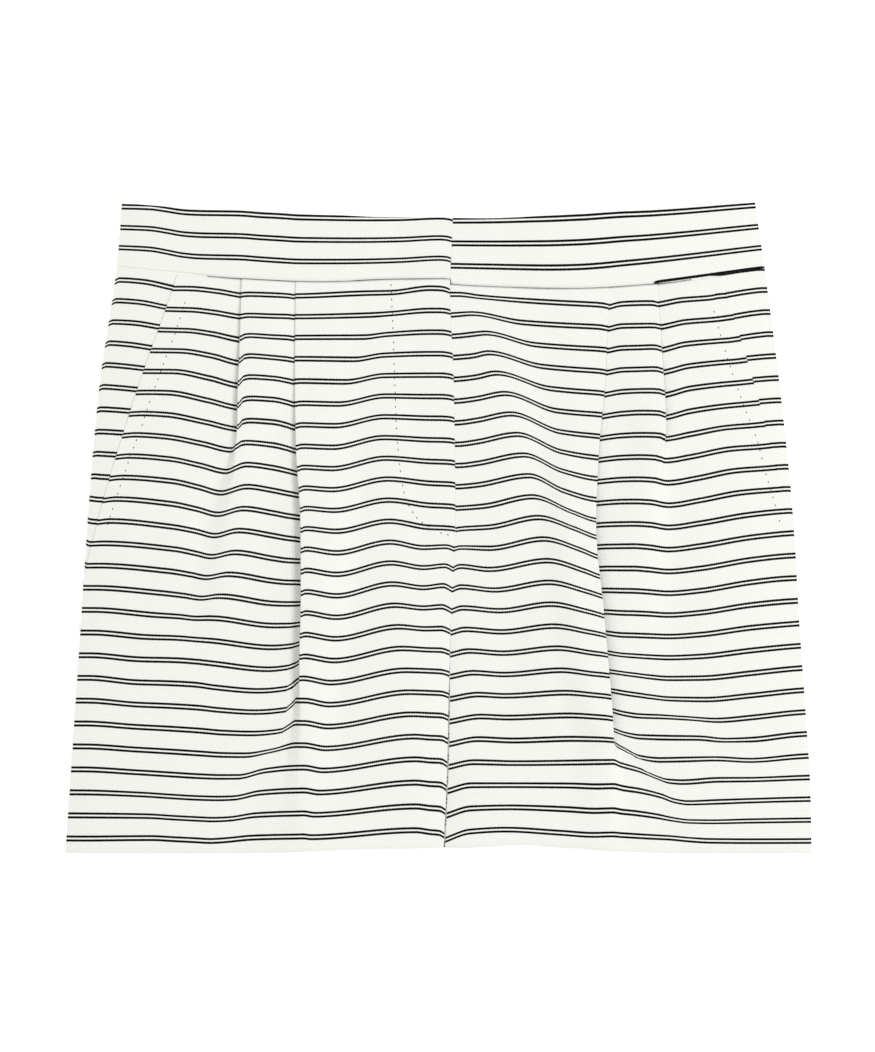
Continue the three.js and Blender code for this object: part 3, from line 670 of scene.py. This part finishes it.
CURL_REACH = {"right": (1.9, 1.5), "left": (2, 3)}
FLY_CURL, FLY_CURL_REACH = 0.7, 1.6        # at the edge of the fly
UNDER_CURL, UNDER_CURL_REACH = 0.5, 2.2    # on the cloth that runs in below a pleat
STITCHED = 7         # from the pocket mouth's edge to its pick stitching
TOP_STRIPE = -0.76   # no stripe number is lower, so that the waistband's seam hides the line above it


def front_stripes(leg, q, z, y, pleats, start, centre):
    """The stripe number at each point, so that the stripes sag where the cloth does"""
    table, sign = SAG[leg], SIGN[leg]
    run = lengths(q, z)
    parts = []
    begin = 0
    for pleat in pleats:
        parts.append((begin, pleat["first_column"]))
        begin = pleat["last_column"]
    parts.append((begin, q.shape[1] - 1))

    def along_cloth(place, part):
        first, last = parts[part]
        ends = [values[:, [column]] for values in (q, run) for column in (first, last)]
        return ends[2] + (place - ends[0]) * (ends[3] - ends[2]) / (ends[1] - ends[0])

    def read(key):
        return through(table["stripe"], table[key], stripe)

    def across(key, part):
        return along_cloth(-sign * read(key + "_x"), part)

    stripe = stripe_at(leg, y)
    for _ in range(SETTLE):
        features = [(along_cloth(start, 0), "mouth"), (along_cloth(start + STITCHED, 0), "stitched"),
                    (across("shelf", 0), "shelf"), (across("brink", 0), "brink")]
        curls = FLY_CURL * soft(y, FLY_END_Y, FLY_END_Y + 10) * np.exp(-(run[:, -1:] - run) / FLY_CURL_REACH)
        for n, pleat in enumerate(pleats, 1):
            shut = pleat["shut"]
            under = along_cloth(pleat["under"], n - 1) * shut + across(f"under{n}", n - 1) * (1 - shut)
            over = along_cloth(pleat["over"], n) * shut + across(f"over{n}", n) * (1 - shut)
            features += [(under, f"under{n}"), (over, f"over{n}")]
            edge = run[:, [pleat["last_column"]]]
            curls = curls + read(f"curl{n}") * shut * np.exp(-np.abs(run - edge) / CURL_REACH[leg][n - 1])
            below = along_cloth(pleat["under"], n - 1)
            fall = np.exp(-np.abs(run - below) / UNDER_CURL_REACH)
            curls = curls + UNDER_CURL * shut * np.where(run < below + 1, fall, 0)
            if n == 1:
                features += [(across("middle", 1), "middle"), (across("toe", 1), "toe")]
        features += [(across(key, 2), key) for key in ("low", "high", "dip", "bank")]
        features.append((along_cloth(centre, 2), "centre"))
        places = in_order(*(np.broadcast_to(place, q.shape) for place, _ in features))
        sag = through(places, np.stack([read(key) for _, key in features], -1), run)
        stripe = stripe_at(leg, y + sag + curls)
    return np.maximum(stripe, TOP_STRIPE)


NEAR_EDGE = np.array([0, 0.3, 0.6, 1, 1.8, 3.5])
NEXT_ROW = 6
FRONT_ROWS = 112


def rows_down(deep, between):
    """The shares of a piece's depth at which its rows lie, close together at both edges"""
    inner = np.linspace(NEXT_ROW / deep, 1 - NEXT_ROW / deep, between)
    return np.concatenate([NEAR_EDGE / deep, inner, 1 - NEAR_EDGE[::-1] / deep])[:, None]


def turned_down(from_edge, depth, reach):
    """How far an edge of the cloth turns down, fading away from it"""
    return depth * np.exp(-((from_edge / reach) ** 2))


TOP_TURN, HEM_TURN = (1.4, 0.55), (0.5, 1.2)     # how deep an edge turns down, and its reach
SLIT = 0.22          # extra room at the waistband's seam, each side
fronts = {}
for leg in ("right", "left"):
    deep = SEAM_Y - HEM_Y
    share = rows_down(deep, FRONT_ROWS)
    q, x, y, z, pleats, start, centre = front_points(leg, share)
    stripe = front_stripes(leg, q, z, y, pleats, start, centre)
    y = y - SLIT * (1 - share) ** 8
    z = z - turned_down(share * deep, *TOP_TURN) - turned_down((1 - share) * deep, *HEM_TURN)
    piece = striped_piece(f"front_{leg}", leg, x, y, z, stripe, CLOTH, f"front_{leg}_leg")
    fronts[leg] = piece

# Front of the waistband
# Two curved halves of two plies, with their fold at the top and their seam on the fronts.
# The wearer's right half laps over the left one at the fly.
FRONT_BAND = 0.9     # the two plies' thickness
FOLD_TURN, FOOT_TURN = (0.3, 1.1), (1.0, 0.55)
FRONT_BAND_ROWS, FRONT_BAND_COLUMNS = 9, 90
# Where the second stripe of each half lies, and one repeat there; above it a repeat is longer by "upper"
BAND_STRIPES = {
    "right": {"x": (-191, -173, -163, -153, -143, -119, -107, -95, -83, -50, -23, 1, 9),
              "y": (181.7, 180.9, 179.4, 177.7, 177.0, 176.5, 175.6,
                    174.9, 174.2, 173.9, 174.3, 175.3, 174.8),
              "pitch": (12.1, 12.3, 12.5, 12.7, 12.9, 13.0, 13.0, 13.1, 13.0, 12.7, 12.4, 12.2, 12.2),
              "upper": 1.03},
    "left": {"x": (9, 30, 61, 85, 97, 109, 127, 193),
             "y": (172.2, 172.1, 172.2, 172.9, 173.7, 174.7, 175.9, 182.4),
             "pitch": (13.5, 13.8, 14.5, 14.8, 14.8, 14.6, 14.1, 12.8), "upper": 1.0},
}
LAST_STRIPE = 2.93   # the band's foot turns in just above its next stripe
LAST_SHOWS, LAST_FROM, LAST_FULL = 0.15, 129, 133   # which shows on the left half from here outward
for leg in ("right", "left"):
    on_top = leg == "right"
    deep = WAIST_Y - SEAM_Y
    share = rows_down(deep, FRONT_BAND_ROWS)
    level = WAIST_Y + (SEAM_Y - WAIST_Y) * share
    outer = -side_out(leg, level)
    inner = -SIGN[leg] * centre_x(level)
    steps = np.linspace(0, 1, FRONT_BAND_COLUMNS)[None, :]
    q = outer + (inner - (0 if on_top else 1) - outer) * steps
    if not on_top:
        q = np.concatenate([q, inner - GAP / 2, inner + FLY_LAP], axis=1)
    x = -SIGN[leg] * q
    top = through(WAIST_TOP[leg]["x"], WAIST_TOP[leg]["y"], x)
    foot = np.where(q > inner - 0.5, seam_y("right", x), seam_y(leg, x)) if not on_top else seam_y(leg, x)
    bow = FLY_CURL * np.exp(-np.maximum(inner - q, 0) / FLY_CURL_REACH) if on_top else 0
    y = top + (foot + GAP / 2 + SLIT - top) * share - bow
    # the band rides up over the pleats' layers, and the right half's end over the left half
    over_pleats = soft(q - outer, 30, 70) * (1 - soft(q, inner - 55, inner - 30))
    lap = (FRONT_BAND + 0.1) * soft(q, inner - 40, inner - 14) if on_top else 0
    z = cloth_height(leg, x, y) + (BAND - WALL) * 1.5 + over_pleats + lap
    z = z - turned_down(share * deep, *FOLD_TURN) - turned_down((1 - share) * deep, *FOOT_TURN)
    lines = BAND_STRIPES[leg]
    second = through(lines["x"], lines["y"], x)
    pitch = through(lines["x"], lines["pitch"], x)
    stripe = 1 + (second - bow - y) / np.where(y > second - bow, pitch * lines["upper"], pitch)
    shows = 0 if on_top else LAST_SHOWS * soft(x, LAST_FROM, LAST_FULL)
    stripe = np.minimum(stripe, LAST_STRIPE + shows)
    piece = striped_piece(f"band_{leg}", leg, x, y, z, stripe, FRONT_BAND, f"front_waistband_{leg}")

# Pick stitching
# Short dark hand stitches, 4 to 5 mm apart, beside both pocket mouths and along the fly's curve.
# Each is one small stitch of thread that lies on the front's cloth.
STITCH_LINES = {
    "pocket_right": {"x": (-152.1, -158.1, -163.5, -168.3, -173.4, -178.2,
                           -183.3, -188.1, -192.6, -197.1, -199.8),
                     "y": (135.3, 116.7, 102.9, 89.4, 75.6, 60.9, 47.4, 33.9, 20.4, 6.9, -2.1),
                     "apart": 4.85, "missed": (6,), "leg": "right"},
    "fly": {"x": (-28.5, -27.5, -26.2, -25.2, -22.5, -20, -15, -11, -5, 1, 5.5, 8.7),
            "y": (146, 124, 86, 60, 32, 19, 9, 4.5, 0.5, -2.5, -3.8, -4.2),
            "apart": 4.3, "missed": (), "leg": "right"},
    "pocket_left": {"x": (165.3, 171.9, 176.4, 184.5, 190.5, 196.8, 201.2, 205.2),
                    "y": (129.9, 107, 93, 70.2, 55, 31.5, 17, 2.7),
                    "apart": 4.87, "missed": (1, 4, 9), "leg": "left"},
}
STITCH_RADIUS = 0.5
STITCH_SHAPE = (1.35, 0.6, 0.45)     # along the line, across it, and its height
AHEAD = 0.5          # the next point of the line, which gives a stitch its heading
ABOVE = 0.05         # from where a stitch is let down onto the cloth, metres
DOWN = Vector((0, 0, -1))

thread = Finish("black_thread")
grain = thread.add("ShaderNodeTexCoord", {}, {}, "Object")
lint = thread.add("ShaderNodeTexNoise", {}, {"Vector": grain, "Scale": 2600.0}, "Fac")
inked = thread.add("ShaderNodeMix", {"data_type": "RGBA"},
                   {"Factor": lint, 6: (0.012, 0.012, 0.014, 1), 7: (0.09, 0.09, 0.095, 1)}, 2)
thread.fill(thread.skin, {"Base Color": inked, "Roughness": 0.7})
for line_name, line in STITCH_LINES.items():
    line_x, line_y = np.array(line["x"]), np.array(line["y"])
    passed = np.concatenate([[0], np.cumsum(np.hypot(np.diff(line_x), np.diff(line_y)))])
    made = []
    for count, s in enumerate(np.arange(0, passed[-1], line["apart"])):
        if count in line["missed"]:
            continue
        here, ahead = ([float(through(passed, values, np.array(at))) for values in (line_x, line_y)]
                       for at in (s, s + AHEAD))
        heading = math.atan2(ahead[1] - here[1], ahead[0] - here[0])
        origin = Vector((here[0] * MM, here[1] * MM, ABOVE))
        _, spot, _, _ = fronts[line["leg"]].ray_cast(origin, DOWN)
        deselect()
        bpy.ops.mesh.primitive_uv_sphere_add(segments=8, ring_count=6, radius=STITCH_RADIUS * MM,
                                             location=spot, rotation=(0, 0, heading), scale=STITCH_SHAPE)
        made.append(take_new("stitch"))
    deselect()
    for stitch in made:
        stitch.select_set(True)
    bpy.context.view_layer.objects.active = made[0]
    bpy.ops.object.join()
    row = bpy.context.object
    row.name = row.data.name = f"pick_stitches_{line_name}"
    bpy.ops.object.shade_smooth()
    row.data.materials.append(thread.material)
    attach(row, "root")

deselect()
